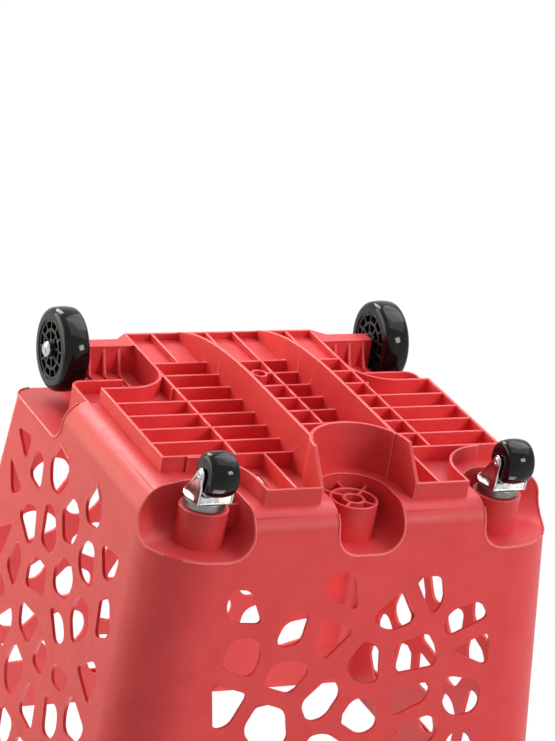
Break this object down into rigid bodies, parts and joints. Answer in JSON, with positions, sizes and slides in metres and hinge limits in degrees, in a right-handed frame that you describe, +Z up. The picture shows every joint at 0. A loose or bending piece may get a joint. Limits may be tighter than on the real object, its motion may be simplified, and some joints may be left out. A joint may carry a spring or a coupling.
{
  "type": "rolling shopping basket",
  "caption": "Perforated moulded shopping basket on rear wheels and front swivel castors, with a fold-up pull handle and a ribbed underside.",
  "frame": {"origin": "on the floor, under the centre of the whole part", "axes": "+Z up, -Y the way it is pulled (castors and grip in front), +X the left side"},
  "size_m": [0.4982, 0.4646, 0.45],
  "materials": {
    "basket_plastic": "satin moulded plastic",
    "hub_plastic": "gloss",
    "tyre_rubber": "smooth",
    "castor_plastic": "gloss",
    "race_plastic": "natural nylon",
    "handle_plastic": "satin",
    "grip_rubber": "matt",
    "zinc_steel": "bright zinc plate"
  },
  "bodies": {
    "basket_body": {"basket": "basket_plastic", "axle_caps": "zinc_steel", "castor_stems": "zinc_steel", "castor_cups": "zinc_steel", "castor_races": "race_plastic", "handle_pins": "zinc_steel", "axle_pin_left": "zinc_steel", "axle_pin_right": "zinc_steel"},
    "handle": {"handle_frame": "handle_plastic", "handle_grip": "grip_rubber"},
    "wheel_left": {"wheel_hub_left": "hub_plastic", "wheel_tyre_left": "tyre_rubber"},
    "castor_left": {"castor_fork_left": "zinc_steel", "castor_axle_left": "zinc_steel"},
    "castor_roller_left": {"castor_wheel_left": "castor_plastic"},
    "wheel_right": {"wheel_hub_right": "hub_plastic", "wheel_tyre_right": "tyre_rubber"},
    "castor_right": {"castor_fork_right": "zinc_steel", "castor_axle_right": "zinc_steel"},
    "castor_roller_right": {"castor_wheel_right": "castor_plastic"}
  },
  "joints": [
    {"name": "handle_fold", "type": "hinge", "parent": "basket_body", "child": "handle", "pos_m": [0, 0.16175, 0.435], "axis": [-1, 0, 0], "range_deg": [0, 100]},
    {"name": "wheel_left_roll", "type": "hinge", "parent": "basket_body", "child": "wheel_left", "pos_m": [0.166, 0.16875, 0.04], "axis": [1, 0, 0], "continuous": true},
    {"name": "castor_left_swivel", "type": "hinge", "parent": "basket_body", "child": "castor_left", "pos_m": [0.1445, -0.12675, 0.0475], "axis": [0, 0, 1], "continuous": true},
    {"name": "castor_left_roll", "type": "hinge", "parent": "castor_left", "child": "castor_roller_left", "pos_m": [0.1445, -0.14375, 0.0205], "axis": [1, 0, 0], "continuous": true},
    {"name": "wheel_right_roll", "type": "hinge", "parent": "basket_body", "child": "wheel_right", "pos_m": [-0.166, 0.16875, 0.04], "axis": [1, 0, 0], "continuous": true},
    {"name": "castor_right_swivel", "type": "hinge", "parent": "basket_body", "child": "castor_right", "pos_m": [-0.1445, -0.12675, 0.0475], "axis": [0, 0, 1], "continuous": true},
    {"name": "castor_right_roll", "type": "hinge", "parent": "castor_right", "child": "castor_roller_right", "pos_m": [-0.1445, -0.14375, 0.0205], "axis": [1, 0, 0], "continuous": true}
  ]
}
